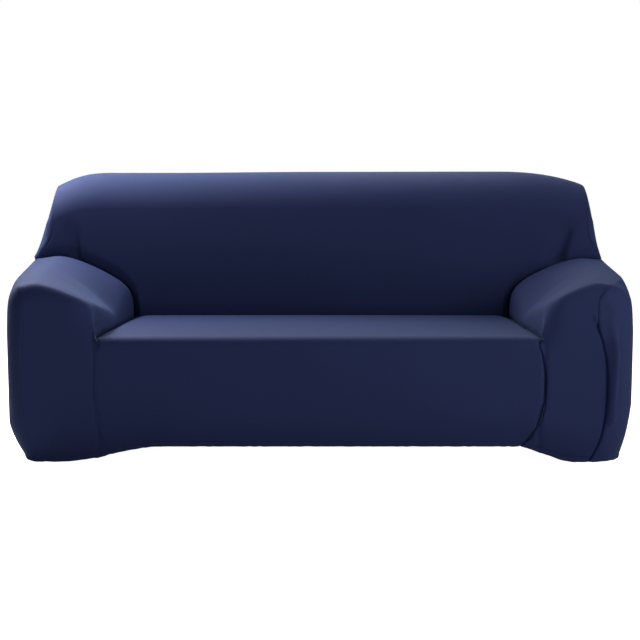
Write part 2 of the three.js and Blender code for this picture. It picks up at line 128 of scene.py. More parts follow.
# Broad soft folds, seen from the front: from (x, z, height) to (x, z, height), and how wide the flanks
# are towards -x and towards +x
backFolds = [
    {"from": (976, 885, 0), "to": (940, 770, -9), "flanks": (90, 40)},
    {"from": (940, 770, -9), "to": (892, 636, -24), "flanks": (85, 24)},
    {"from": (846, 690, 0), "to": (854, 622, -16), "flanks": (22, 20)},
    {"from": (-945, 880, 0), "to": (-924, 680, -5), "flanks": (46, 40)},
    {"from": (-908, 770, 0), "to": (-898, 645, -15), "flanks": (26, 16)},
]
foldEnds = {"foot": 0.06, "top": 0.5}
sideFolds = [
    {"from": (976, 540, 0), "to": (998, 455, 14), "flanks": (26, 13)},
    {"from": (998, 455, 14), "to": (1003, 380, 25), "flanks": (28, 12)},
    {"from": (1003, 380, 25), "to": (998, 150, 14), "flanks": (28, 13)},
]
sideFoldsDepth = -200
sideFoldPush = {"out": 0.5, "forward": 0.85}

# The stretches of a lengthwise line from the front hem over the cover to the rear hem: how many rows
# each has, how many times closer they lie at its start and at its end, and how far the outer side is
# rounded towards the seam beside it. The rear has as many rows as the front and the inner back together,
# because the rows of the outer sides run through.
stretches = [
    {"name": "front", "rows": 70, "crowding": (4, 2), "rounding": 95.0},
    {"name": "frontEdge", "rows": 12, "crowding": (0, 0), "rounding": 115.0},
    {"name": "top", "rows": 66, "crowding": (1, 5), "rounding": 85.0},
    {"name": "innerBack", "rows": 54, "crowding": (5, 1), "rounding": 62.0},
    {"name": "backEdge", "rows": 11, "crowding": (0, 0), "rounding": 85.0},
    {"name": "backTop", "rows": 11, "crowding": (0, 0), "rounding": 85.0},
    {"name": "rearEdge", "rows": 9, "crowding": (0, 0), "rounding": 85.0},
    {"name": "rear", "rows": 124, "crowding": (0, 2), "rounding": 70.0},
]
gridDensity = {
    "seatColumns": 58,
    "armColumns": 48,
    "seatCrowding": (0, 8),
    "armCrowding": (6, 4),
    "crowdedShare": 0.05,
    "fineSteps": 4001,
    "weldSteps": 50,  # in a millimetre; points that round to the same step are one
    "atOnce": 2000,  # places worked out in one go, to spare memory
}


def clamp01(value):
    return np.clip(value, 0.0, 1.0)


def mix(start, end, share):
    return start + (end - start) * share


def quarter(share):
    return np.sqrt(np.maximum(0.0, 1 - (1 - clamp01(share)) ** 2))


def fade(share):
    return (1 - clamp01(share)) ** 2


def ease(share):
    held = clamp01(share)
    return held * held * (3 - 2 * held)


def spreadShares(count, crowding):
    # count + 1 shares from 0 to 1, closer together towards the start and the end
    fine = np.linspace(0, 1, gridDensity["fineSteps"])
    near = gridDensity["crowdedShare"]
    density = 1 + crowding[0] * np.exp(-fine / near) + crowding[1] * np.exp(-(1 - fine) / near)
    total = np.concatenate([[0], np.cumsum((density[1:] + density[:-1]) / 2)])
    return np.interp(np.linspace(0, 1, count + 1), total / total[-1], fine)


def belliedSeam(form, hem, belly, top, z):
    below = clamp01((form["bellyHeight"] - z) / form["bellyHeight"])
    above = clamp01((z - form["bellyHeight"]) / (form["topHeight"] - form["bellyHeight"]))
    return belly - (belly - hem) * below ** form["hemPower"] - (belly - top) * above ** form["topPower"]


def apronSeamX(end, z):
    return belliedSeam(apronSeamForm, end["seamHem"], end["seamBelly"], end["seamTop"], z)


def armSeamX(end, z):
    return belliedSeam(armSeamForm, end["armSeamHem"], end["armSeamBelly"], end["armSeamTop"], z)


def hemHeight(end, x):
    along = clamp01((x - end["hemRampStart"]) / (end["hemRampEnd"] - end["hemRampStart"]))
    return mix(coverSizes["hemLift"], end["hemLow"], mix(along, ease(along), coverSizes["hemRampSoftness"]))


def armSection(end, across, depthShare):
    # a steep foot that stands on the crease, and a slope that climbs on from it
    c = coverSizes
    climb = 1 - (1 - clamp01(across / c["armSectionPeak"])) ** c["armSectionRoundness"]
    behindWall = clamp01((depthShare - c["armWallEnd"]) / (1 - c["armWallEnd"]))
    wall = end["footFront"]["rise"] * clamp01(1 - depthShare / c["armWallEnd"])
    foot = wall + end["footRear"]["rise"] * ease(behindWall)
    width = mix(end["footFront"]["width"], end["footRear"]["width"], depthShare)
    power = c["armFootPower"]
    steep = (1 - (1 - clamp01(across / width)) ** power) ** (1 / power)
    return foot * steep + (1 - foot) * climb


def depthShareAt(y):
    return clamp01((y - coverSizes["frontY"]) / (coverSizes["backFootY"] - coverSizes["frontY"]))


def topHeight(end, across, x, y):
    c = coverSizes
    edge = c["seatEdgeRadius"] * (1 - quarter((y - c["frontY"]) / c["seatEdgeRadius"]))
    depthShare = depthShareAt(y)
    crown = c["seatCrown"] * (1 - (x / end["seamBelly"]) ** 2) * np.sin(np.pi * depthShare)
    rise = mix(end["armRiseFront"], end["armRiseRear"], depthShare)
    outwards = quarter(across / c["armCornerWidth"])
    reach = mix(c["armEdgeReach"]["inner"], c["armEdgeReach"]["outer"], outwards)
    start = c["armEdgeStart"] * outwards
    front = start + (1 - start) * quarter((y - c["frontY"]) / reach)
    fall = end["armSectionFall"] * ease((across - c["armSectionPeak"]) / (1 - c["armSectionPeak"]))
    arm = rise * armSection(end, across, depthShare) * front - fall
    return c["seatHeight"] - edge + np.where(across <= 0, crown, arm)


def roundedCorner(across, y, z):
    # turns the arm's front back into its inner wall above the seat
    c = coverSizes
    corner = c["armCornerRound"]
    inwards = (across > 0) * (1 - quarter(across / corner["across"]))
    above = ease((z - c["seatHeight"] + c["seatEdgeRadius"]) / corner["height"])
    return y + corner["depth"] * inwards * above * fade((y - c["frontY"]) / corner["run"])


def backFaceY(x, z):
    c = coverSizes
    climb = clamp01((z - c["seatHeight"]) / (c["backHeight"] - c["seatHeight"]))
    belly = c["backBelly"] * np.sin(np.pi * climb) * (1 - (x / c["backBellyWidth"]) ** 2)
    return c["backFootY"] + c["backLean"] * climb ** c["backLeanPower"] - belly


def backTopHeight(end, x):
    c = coverSizes
    beyond = clamp01((x - end["topFlat"]) / (c["backEndSeam"] - end["topFlat"]))
    tilt = end["topTilt"] * ease(x / c["topTiltReach"])
    return c["backHeight"] - tilt - c["backTopFall"] * beyond ** c["backTopFallPower"]


def foldsHeight(folds, x, z):
    # where folds meet or cross, the strongest ridge and the deepest trough count
    ridge = np.zeros(np.broadcast(x, z).shape)
    trough = np.zeros_like(ridge)
    for fold in folds:
        (fromX, fromZ, fromHeight), (toX, toZ, toHeight) = fold["from"], fold["to"]
        runX, runZ = toX - fromX, toZ - fromZ
        held = clamp01(((x - fromX) * runX + (z - fromZ) * runZ) / (runX * runX + runZ * runZ))
        asideX = x - fromX - runX * held
        away = np.hypot(asideX, z - fromZ - runZ * held)
        swell = np.cos(0.5 * np.pi * clamp01(away / np.where(asideX < 0, *fold["flanks"]))) ** 2
        height = mix(fromHeight, toHeight, held) * swell
        ridge = np.maximum(ridge, height)
        trough = np.minimum(trough, height)
    return ridge + trough


def linesAcross(end, stretch, share, depthShare):
    # how far out the line along the seat's edge and the one along the outer seam lie
    c = coverSizes
    faceTop = armSeamX(end, c["armFaceHeight"])
    shoulder = mix(faceTop, end["armTopSeam"], c["armShoulder"])
    if stretch == "front":
        inner = apronSeamX(end, mix(c["hemLift"], c["seatHeight"], share))
        return inner, armSeamX(end, c["armFaceHeight"] * share)
    if stretch == "frontEdge":
        return end["seamTop"] + 0 * share, mix(faceTop, shoulder, ease(share))
    if stretch == "top":
        inner = mix(end["seamTop"], end["creaseRear"], depthShare)
        return inner, mix(shoulder, end["armTopSeam"], ease(share / c["armTopSeamRun"]))
    if stretch == "innerBack":
        inner = mix(end["creaseRear"], c["backColumn"], ease(share))
        return inner, mix(end["armTopSeam"], c["backEndSeam"], ease(share / c["backEndSeamRun"]))
    if stretch == "rear":
        drawnIn = c["rearSeamDrawnIn"] * (c["backEndSeam"] - end["armSeamHem"])
        inner = mix(c["backColumn"], end["creaseRear"], share)
        return inner, c["backEndSeam"] - drawnIn * share ** c["rearSeamPower"]
    return c["backColumn"] + 0 * share, c["backEndSeam"] + 0 * share


def acrossAt(column, lines):
    inner, outer = lines
    return np.where(column <= 1, inner * column, mix(inner, outer, column - 1))


def pressAtArm(end, x, y, z):
    # pushes the seat, the arm and the front down into the crease or the seam along the arm
    c = coverSizes
    depthShare = depthShareAt(y)
    onTop = ease((y - c["frontY"]) / c["edgeDepth"])
    line = np.where(onTop > 0, mix(end["seamTop"], end["creaseRear"], depthShare), apronSeamX(end, z))
    aside = np.abs(x - line)
    sink = c["armCrease"] * onTop * fade(aside / c["creaseReach"])
    groove = (1 - onTop) * end["frontSeamGroove"] * fade(aside / c["frontSeamReach"])
    pull = c["armCreasePull"]
    return x + pull["out"] * sink, y + groove, z - pull["down"] * sink


def pressAtBack(column, y, z, away):
    # pushes the seat and the back down into the crease between them
    c = coverSizes
    kept = 1 - c["seatCreaseLossOnArm"] * ease(column - 1)
    depth = c["seatCrease"] * kept * fade(away / c["creaseReach"])
    pull = c["seatCreasePull"]
    return y + pull["back"] * depth, z - pull["down"] * depth


def backFoot(end, column):
    x = acrossAt(column, linesAcross(end, "top", 1.0, 1.0))
    z = topHeight(end, np.maximum(0, column - 1), x, coverSizes["backFootY"])
    return backFaceY(x, z), z


def coverPoints(end, columns, stretch, shares):
    # the points of one stretch: a row for each share, a column for each lengthwise line
    c = coverSizes
    column = columns[None, :]
    share = shares[:, None]
    onArm = np.maximum(0, column - 1)
    turn = 0.5 * np.pi * share
    if stretch == "front":
        x = acrossAt(column, linesAcross(end, stretch, share, 0))
        hem = hemHeight(end, x)
        z = mix(hem, topHeight(end, onArm, x, c["frontY"]), share)
        y = c["frontY"] + c["hemTuck"] * fade((z - hem) / c["hemTuckHeight"])
    elif stretch == "frontEdge":
        x = acrossAt(column, linesAcross(end, stretch, share, 0))
        y = c["frontY"] + c["edgeDepth"] * (1 - np.cos(turn)) + 0 * x
        z = topHeight(end, onArm, x, y)
    elif stretch == "top":
        footY = backFoot(end, column)[0]
        y = mix(c["frontY"] + c["edgeDepth"], footY, share)
        x = acrossAt(column, linesAcross(end, stretch, share, (y - c["frontY"]) / (footY - c["frontY"])))
        z = topHeight(end, onArm, x, y)
        y, z = pressAtBack(column, y, z, footY - y)
    elif stretch == "innerBack":
        footZ = backFoot(end, column)[1]
        x = acrossAt(column, linesAcross(end, stretch, share, 1))
        z = mix(footZ, backTopHeight(end, x) - c["backEdgeRadius"], share)
        held = quarter(share / foldEnds["foot"]) * ease((1 - share) / foldEnds["top"])
        folds = foldsHeight(backFolds, end["sign"] * x, z) * held
        y = backFaceY(x, z) - folds
        y, z = pressAtBack(column, y, z, z - footZ)
    else:
        x = acrossAt(column, linesAcross(end, stretch, share, 1))
        top = backTopHeight(end, x)
        edgeY = backFaceY(x, top - c["backEdgeRadius"]) + c["backLeanAtEdge"] * c["backEdgeRadius"]
        if stretch == "backEdge":
            below = c["backEdgeRadius"] * (1 - np.sin(turn))
            y = edgeY - c["backLeanAtEdge"] * below + c["backEdgeRadius"] * (1 - np.cos(turn))
            z = top - below
        elif stretch == "backTop":
            y = mix(edgeY + c["backEdgeRadius"], c["rearY"] - c["rearEdgeRadius"], share)
            z = top + 0 * share
        elif stretch == "rearEdge":
            y = c["rearY"] - c["rearEdgeRadius"] * (1 - np.sin(turn)) + 0 * x
            z = top - c["rearEdgeRadius"] * (1 - np.cos(turn))
        else:
            hem = hemHeight(end, x)
            z = mix(top - c["rearEdgeRadius"], hem, share)
            y = c["rearY"] - c["hemTuck"] * fade((z - hem) / c["hemTuckHeight"])
    if stretch in ("front", "frontEdge", "top"):
        y = roundedCorner(onArm, y, z)
        x, y, z = pressAtArm(end, x, y, z)
    return np.stack(np.broadcast_arrays(end["sign"] * x, y, z), axis=-1)


columnPlaces = np.concatenate([
    spreadShares(gridDensity["seatColumns"], gridDensity["seatCrowding"]),
    1 + spreadShares(gridDensity["armColumns"], gridDensity["armCrowding"])[1:],
])
seamColumn = gridDensity["seatColumns"]
stretchRows = {}
rowStart = 0
for part in stretches:
    stretchRows[part["name"]] = (rowStart, rowStart + part["rows"])
    rowStart += part["rows"]
crestRow = stretchRows["top"][1]  # the crease with the back
lastRow = stretchRows["rear"][1]


def coverGrid(end):
    # all lengthwise lines of one half, and for each row how far the side is rounded beside it
    parts, rounding = [], []
    for part in stretches:
        shares = spreadShares(part["rows"], part["crowding"])
        points = coverPoints(end, columnPlaces, part["name"], shares)
        first = 0 if part["name"] == "front" else 1
        parts.append(points[first:])
        rounding += [part["rounding"]] * (len(shares) - first)
    return np.concatenate(parts), np.array(rounding)


def sideX(end, y, z):
    c = coverSizes
    full = mix(end["sideFront"], end["sideRear"], ease((y - c["frontY"]) / (c["rearY"] - c["frontY"])))
    armEndHeight = c["seatHeight"] + end["armRiseRear"] - end["armSectionFall"]
    upwards = clamp01((z - armEndHeight) / c["backEndRise"]) ** c["backEndPower"]
    low = 1 - clamp01(z / end["sideHemTuckHeight"])
    return mix(full, end["sideTop"], upwards) - end["sideHemTuck"] * low ** c["sideHemTuckPower"]


def sidePoints(end, seam, rounding, y, z):
    # the outer side: how far out it lies comes from how far each place is from the nearest seam
    before, run = seam[:-1, 1:], seam[1:, 1:] - seam[:-1, 1:]
    lengths = (run**2).sum(-1)
    place = np.stack([y.ravel(), z.ravel()], -1)
    seamX = np.empty(len(place))
    reach = np.empty(len(place))
    away = np.empty(len(place))
    for start in range(0, len(place), gridDensity["atOnce"]):
        chunk = slice(start, start + gridDensity["atOnce"])
        some = place[chunk, None, :]
        along = clamp01(((some - before) * run).sum(-1) / lengths)
        apart = np.hypot(*np.moveaxis(some - before - run * along[..., None], -1, 0))
        pick = apart.argmin(1)
        rows = np.arange(len(pick))
        share = along[rows, pick]
        seamX[chunk] = mix(np.abs(seam[pick, 0]), np.abs(seam[pick + 1, 0]), share)
        reach[chunk] = mix(rounding[pick], rounding[pick + 1], share)
        away[chunk] = apart[rows, pick]
    x = mix(seamX, sideX(end, place[:, 0], place[:, 1]), quarter(away / reach))
    folds = foldsHeight(sideFolds, end["sign"] * x, place[:, 1]) * (place[:, 0] < sideFoldsDepth)
    x = end["sign"] * (x + sideFoldPush["out"] * folds)
    points = np.stack([x, place[:, 0] - sideFoldPush["forward"] * folds, place[:, 1]], -1)
    return points.reshape(y.shape + (3,))


def fillEdges(bottom, top, front, rear):
    # a grid inside four edges, each a line of places
    across = np.linspace(0, 1, len(bottom))[None, :, None]
    up = np.linspace(0, 1, len(front))[:, None, None]
    corners = mix(mix(bottom[0], bottom[-1], across), mix(top[0], top[-1], across), up)
    return mix(bottom[None], top[None], up) + mix(front[:, None], rear[:, None], across) - corners


def sideGrids(end, grid, rounding):
    # two blocks of the outer side: all below the waist, and the end of the back above it
    seam = grid[:, -1]
    flat = seam[:, 1:]
    frontEnd = stretchRows["front"][1]
    shoulder = stretchRows["innerBack"][1]
    rearStart = stretchRows["rear"][0]
    rearJoint = rearStart + shoulder - crestRow
    waist = np.linspace(flat[crestRow], flat[rearJoint], rearStart - shoulder + 1)
    topLine = np.concatenate([flat[frontEnd:crestRow], waist])
    along = (topLine[:, 0] - flat[0, 0]) / (flat[lastRow, 0] - flat[0, 0])
    hem = mix(flat[0], flat[lastRow], along[:, None])
    hem[:, 1] += coverSizes["sideHemLift"] * np.sin(np.pi * clamp01(along)) ** 2
    lowerFlat = fillEdges(hem, topLine, flat[: frontEnd + 1], flat[rearJoint:][::-1])
    upperFlat = fillEdges(waist, flat[shoulder: rearStart + 1], flat[crestRow: shoulder + 1],
                          flat[rearStart: rearJoint + 1][::-1])
    lower = sidePoints(end, seam, rounding, lowerFlat[..., 0], lowerFlat[..., 1])
    upper = sidePoints(end, seam, rounding, upperFlat[..., 0], upperFlat[..., 1])
    lower[:, 0] = seam[: frontEnd + 1]
    lower[-1, : crestRow - frontEnd + 1] = seam[frontEnd: crestRow + 1]
    lower[:, -1] = seam[rearJoint:][::-1]
    upper[:, 0] = seam[crestRow: shoulder + 1]
    upper[:, -1] = seam[rearStart: rearJoint + 1][::-1]
    upper[-1] = seam[shoulder: rearStart + 1]
    upper[0] = lower[-1, crestRow - frontEnd:]
    return lower, upper


def unit(vectors):
    return vectors / np.maximum(np.linalg.norm(vectors, axis=-1, keepdims=True), 1e-12)


def runningLength(grid, axis):
    # how far each point of a grid is along its line from the line's start
    steps = np.linalg.norm(np.diff(grid, axis=axis), axis=-1)
    return np.concatenate([np.zeros_like(np.take(steps, [0], axis)), np.cumsum(steps, axis)], axis)


def gridQuads(index, flip):
    quads = np.stack([index[:-1, :-1], index[:-1, 1:], index[1:, 1:], index[1:, :-1]], -1).reshape(-1, 4)
    return quads[:, ::-1] if flip else quads


def cutEdges(quads):
    # the edges that only one face uses, in that face's order, which are a panel's cut edge
    edges = np.concatenate([quads[:, [k, (k + 1) % 4]] for k in range(4)])
    _, where, counts = np.unique(np.sort(edges, axis=1), axis=0, return_inverse=True, return_counts=True)
    return edges[counts[where.reshape(-1)] == 1]


# Where the cloth eases itself round a corner: how far behind and above it that is centred, how far it
# reaches, and how many rounds it takes
cornerSettling = {
    "inner": {"behind": 25, "above": 40, "reach": 120, "rounds": 90},
    "outer": {"behind": 45, "above": 0, "reach": 120, "rounds": 40},
}


def settle(grid, how, x, z, held):
    # the grid's edges and the held columns stay
    centre = np.array([x, coverSizes["frontY"] + how["behind"], z + how["above"]])
    share = np.sqrt(fade(np.linalg.norm(grid - centre, axis=-1) / how["reach"]))
    share[:, held] = 0
    share[[0, -1]] = 0
    share[:, [0, -1]] = 0
    for _ in range(how["rounds"]):
        beside = np.roll(grid, 1, 0) + np.roll(grid, -1, 0) + np.roll(grid, 1, 1) + np.roll(grid, -1, 1)
        grid = mix(grid, beside / 4, share[..., None])
    return grid


# All grids of the cover. Points where they meet are shared.
grids = {}
for name, end in (("left", leftEnd), ("right", rightEnd)):
    grid, rounding = coverGrid(end)
    innerX, outerX = end["sign"] * end["seamTop"], end["sign"] * end["sideFront"]
    onSeat = slice(0, seamColumn + 1)
    grid = settle(grid, cornerSettling["inner"], innerX, coverSizes["seatHeight"], onSeat)
    lower, upper = sideGrids(end, grid, rounding)
    lower = settle(lower, cornerSettling["outer"], outerX, coverSizes["armFaceHeight"], slice(0, 1))
    grids.update({name: grid, name + "Lower": lower, name + "Upper": upper})
grids["cover"] = np.concatenate([grids.pop("left")[:, ::-1], grids.pop("right")[:, 1:]], axis=1)
allPoints = np.concatenate([grid.reshape(-1, 3) for grid in grids.values()])
stepOf = np.round(allPoints * gridDensity["weldSteps"]).astype(np.int64)
_, keptPoints, pointOf = np.unique(stepOf, axis=0, return_index=True, return_inverse=True)
points = allPoints[keptPoints]
gridIndex, start = {}, 0
for name, grid in grids.items():
    size = grid.shape[0] * grid.shape[1]
    gridIndex[name] = pointOf.reshape(-1)[start:start + size].reshape(grid.shape[:2])
    start += size
lineCount = len(columnPlaces) - 1  # from the middle line to an outer seam
print("form worked out:", len(points), "points")


def slicePart(name, rows=slice(None), columns=slice(None), flip=False):
    return {"grid": name, "rows": rows, "columns": columns, "flip": flip}


seatFirst, seatLast = lineCount - seamColumn, lineCount + seamColumn
panelParts = {
    "seat_panel": [slicePart("cover", slice(0, crestRow + 1), slice(seatFirst, seatLast + 1))],
    "back_panel": [slicePart("cover", slice(crestRow, None))],
    "left_arm_panel": [slicePart("cover", slice(0, crestRow + 1), slice(0, seatFirst + 1))],
    "right_arm_panel": [slicePart("cover", slice(0, crestRow + 1), slice(seatLast, None))],
    "left_side_panel": [slicePart("leftLower", flip=True), slicePart("leftUpper", flip=True)],
    "right_side_panel": [slicePart("rightLower"), slicePart("rightUpper")],
}


def partIndex(part):
    return gridIndex[part["grid"]][part["rows"], part["columns"]]


panelQuads = {
    name: np.concatenate([gridQuads(partIndex(part), part["flip"]) for part in parts])
    for name, parts in panelParts.items()
}
allQuads = np.concatenate(list(panelQuads.values()))


def pointNormals():
    faceNormals = np.cross(points[allQuads[:, 2]] - points[allQuads[:, 0]],
                           points[allQuads[:, 3]] - points[allQuads[:, 1]])
    normals = np.zeros_like(points)
    for corner in range(4):
        np.add.at(normals, allQuads[:, corner], faceNormals)
    return unit(normals)


def nearLine(places, line, reach):
    # for each place: its distance to a line of points, up to a reach, and how far along the line that is
    before, run = line[:-1], np.diff(line, axis=0)
    lengths = np.maximum((run**2).sum(-1), 1e-9)
    total = np.concatenate([[0], np.cumsum(np.sqrt(lengths))])
    away = np.full(len(places), float(reach))
    along = np.zeros(len(places))
    low, high = line.min(0) - reach, line.max(0) + reach
    near = np.flatnonzero(((places >= low) & (places <= high)).all(1))
    for first in range(0, len(near), gridDensity["atOnce"]):
        some = near[first:first + gridDensity["atOnce"]]
        offset = places[some, None, :] - before
        share = clamp01((offset * run).sum(-1) / lengths)
        apart = np.linalg.norm(offset - run * share[..., None], axis=-1)
        pick = apart.argmin(1)
        rows = np.arange(len(some))
        away[some] = np.minimum(reach, apart[rows, pick])
        along[some] = total[pick] + share[rows, pick] * np.sqrt(lengths[pick])
    return away, along


# The seams: the line of each, how deep the stitches draw the cloth in, how wide that groove is, and how
# much the cloth gathers there, which also sets how dark the painted shade along the line is
cover = grids["cover"]
frontEnd = stretchRows["front"][1]
seamRunOn = 6  # rows that the front seams run on over the edge
pinchHeight = 495
pinchRow = int((cover[:frontEnd, -1, 2] < pinchHeight).sum())
seams = [
    (cover[: frontEnd + seamRunOn, seatLast], 4.5, 4.0, 1.0),
    (cover[: frontEnd + seamRunOn, seatFirst], 0.3, 6.0, 0.1),
    (cover[frontEnd:crestRow, seatLast], 6.0, 8.0, 0.9),
    (cover[frontEnd:crestRow, seatFirst], 6.0, 8.0, 0.9),
    (cover[:pinchRow, -1], 3.5, 4.0, 1.0),
    (cover[pinchRow - 1: crestRow, -1], 0.4, 6.0, 0.1),
    (cover[:crestRow, 0], 0.3, 6.0, 0.12),
    (cover[crestRow:, 0], 0.3, 6.0, 0.1),
    (cover[crestRow:, -1], 0.6, 6.0, 0.2),
    (cover[crestRow, seatFirst:seatLast + 1], 3.0, 6.0, 0.6),
    (cover[crestRow, :seatFirst + 1], 6.0, 9.0, 0.9),
    (cover[crestRow, seatLast:], 6.0, 9.0, 0.9),
]
seamReach = 60.0
hemLine = np.concatenate([
    cover[0], grids["rightLower"][0], cover[-1][::-1], grids["leftLower"][0][::-1]])
hemForm = {
    "casing": 16.0,
    "bulge": 1.2,
    "groove": 0.9,
    "grooveWidth": 3.0,
    "wave": 1.4,
    "waveLength": 46.0,
    "waveReach": 30.0,
    "waveDrift": {"amount": 1.3, "pace": 0.37},
    "waveSwell": {"start": 1, "pace": 0.13},
    "edgeWithin": 0.2,
}

# Small folds and gathers: half their width, and the places that each passes through, as (x, y, z, height)
smallFolds = [
    # gathers where the left seam comes over the seat's corner
    (10, [(-728, -250, 446, 0), (-741, -350, 450, -5), (-757, -425, 456, -5), (-780, -438, 446, 0)]),
    (10, [(-733, -300, 462, 0), (-748, -380, 474, -4), (-766, -428, 482, -4), (-792, -440, 476, 0)]),
    (9, [(-722, -300, 438, 0), (-742, -390, 436, -4), (-752, -430, 430, -5), (-770, -441, 412, 0)]),
    # a pinch at the top of the right outer seam, and the notch over the pleat
    (11, [(925, -436, 525, 0), (938, -440, 500, 6), (950, -440, 470, 5), (964, -440, 430, 0)]),
    (12, [(948, -440, 570, 0), (966, -440, 545, -7), (984, -440, 515, -6), (998, -438, 480, 0)]),
    # the right arm's outer end
    (12, [(1010, -400, 615, 0), (1040, -420, 590, -3), (1070, -380, 575, -3), (1078, -300, 570, 0)]),
    # a crease that runs down into the back from the top seam of the left arm
    (14, [(-905, 170, 690, 0), (-925, 150, 655, -3), (-960, 140, 640, 0)]),
]


def shapeSeams():
    # draws the cloth in along every seam, and returns each point's nearest seam for the materials
    global points
    normals = pointNormals()
    nearest = np.full(len(points), seamReach)
    along = np.zeros(len(points))
    puckerAndShade = np.zeros(len(points))
    shift = np.zeros(len(points))
    for line, groove, width, gatherAndShade in seams:
        away, place = nearLine(points, line, seamReach)
        shift = np.maximum(shift, groove * np.exp(-((away / width) ** 2)))
        closer = away < nearest
        nearest[closer], along[closer], puckerAndShade[closer] = away[closer], place[closer], gatherAndShade
    points = points - normals * shift[:, None]
    return np.stack([nearest / 1000, along / 1000, puckerAndShade], -1)


def shapeHem():
    # the elastic casing stands a little proud below its stitching, and gathers the cloth in small waves
    global points
    normals = pointNormals()
    away, along = nearLine(points, hemLine, seamReach)
    casing = hemForm["bulge"] * np.cos(0.5 * np.pi * clamp01(away / hemForm["casing"])) ** 0.5
    groove = hemForm["groove"] * np.exp(-(((away - hemForm["casing"]) / hemForm["grooveWidth"]) ** 2))
    turn = 2 * np.pi * along / hemForm["waveLength"]
    drift, swell = hemForm["waveDrift"], hemForm["waveSwell"]
    wave = np.sin(turn + drift["amount"] * np.sin(drift["pace"] * turn))
    wave = wave * np.sin(swell["pace"] * turn + swell["start"]) * fade(away / hemForm["waveReach"])
    points = points + normals * (casing - groove + hemForm["wave"] * wave)[:, None]
    return np.stack([away / 1000, along / 1000, 0 * away], -1)


def shapeSmallFolds():
    # each place is taken to the nearest point of the cloth
    global points
    normals = pointNormals()
    shift = np.zeros(len(points))
    for halfWidth, places in smallFolds:
        nearest = [np.linalg.norm(points - place[:3], axis=1).argmin() for place in places]
        heights = [place[3] for place in places]
        line = points[nearest]
        away, along = nearLine(points, line, halfWidth)
        total = np.concatenate([[0], np.cumsum(np.linalg.norm(np.diff(line, axis=0), axis=1))])
        shift += np.interp(along, total, heights) * np.cos(0.5 * np.pi * away / halfWidth) ** 2
    points = points + normals * shift[:, None]


seamWork = shapeSeams()
shapeSmallFolds()
hemWork = shapeHem()
print("seams, folds and hems shaped")


def panelGrain(name, used):
    # how far each point is across and along the cloth, in metres, so that the knit follows the cut
    grain = np.zeros((len(points), 3))
    start = 0
    for part in panelParts[name]:
        grid = grids[part["grid"]]
        along = runningLength(grid, 0) + start
        if part["grid"] == "cover":
            across = runningLength(grid, 1)
            across = across - across[:, lineCount:lineCount + 1]
        else:
            # from the outer seam at the rear; the upper block goes on where the lower one ends
            across = -runningLength(grid[:, ::-1], 1)[:, ::-1]
            upper = grids[part["grid"].replace("Lower", "Upper")]
            start = along[-1:, -upper.shape[1]:]
        index = gridIndex[part["grid"]]
        grain[index, 0], grain[index, 1] = across / 1000, along / 1000
    return grain[used]


def panelMesh(name, materials):
    # a panel as cloth of real thickness: its outer face, its inner face and the cut edge all round
    quads = panelQuads[name]
    used, local = np.unique(quads, return_inverse=True)
    local = local.reshape(-1, 4)
    normals = pointNormals()[used]
    outer = points[used].copy()
    edges = cutEdges(local)
    hemPoints = hemWork[used, 0] < hemForm["edgeWithin"] / 1000
    isSeam = ~(hemPoints[edges[:, 0]] & hemPoints[edges[:, 1]])
    pull = np.zeros_like(outer)
    run = outer[edges[isSeam, 1]] - outer[edges[isSeam, 0]]
    for corner in (0, 1):
        index = edges[isSeam, corner]
        np.add.at(pull, index, unit(np.cross(normals[index], run)))
    pull = unit(pull) * (0.5 * coverSizes["seamGap"])
    inner = outer - normals * coverSizes["clothThickness"]
    count = len(used)
    vertices = np.concatenate([outer + pull, inner + pull]) / 1000
    rim = np.stack([edges[:, 1], edges[:, 0], edges[:, 0] + count, edges[:, 1] + count], -1)
    faces = np.concatenate([local, local[:, ::-1] + count, rim])
    mesh = bpy.data.meshes.new(name + "_cloth")
    mesh.from_pydata(vertices.tolist(), [], faces.tolist())
    mesh.update()
    for material in materials:
        mesh.materials.append(material)
    slots = np.zeros(len(faces), np.int32)
    slots[len(local):2 * len(local)] = 1
    mesh.polygons.foreach_set("material_index", slots)
    mesh.polygons.foreach_set("use_smooth", np.ones(len(faces), bool))
    grain = panelGrain(name, used)
    for key, values in (("clothGrain", grain), ("seamWork", seamWork[used]), ("hemWork", hemWork[used])):
        attribute = mesh.attributes.new(key, "FLOAT_VECTOR", "POINT")
        attribute.data.foreach_set("vector", np.concatenate([values, values]).astype(np.float32).ravel())
    panel = bpy.data.objects.new(name + "_cloth", mesh)
    bpy.context.scene.collection.objects.link(panel)
    return panel


def newGroup(name, inputs, outputs):
    # a shader node group with its named sockets: (name, kind, default)
    group = bpy.data.node_groups.new(name, "ShaderNodeTree")
    for label, kind, default in inputs:
        socket = group.interface.new_socket(label, in_out="INPUT", socket_type="NodeSocket" + kind)
        if default is not None:
            socket.default_value = default
    for label, kind in outputs:
        group.interface.new_socket(label, in_out="OUTPUT", socket_type="NodeSocket" + kind)
    return group, group.nodes.new("NodeGroupInput"), group.nodes.new("NodeGroupOutput")


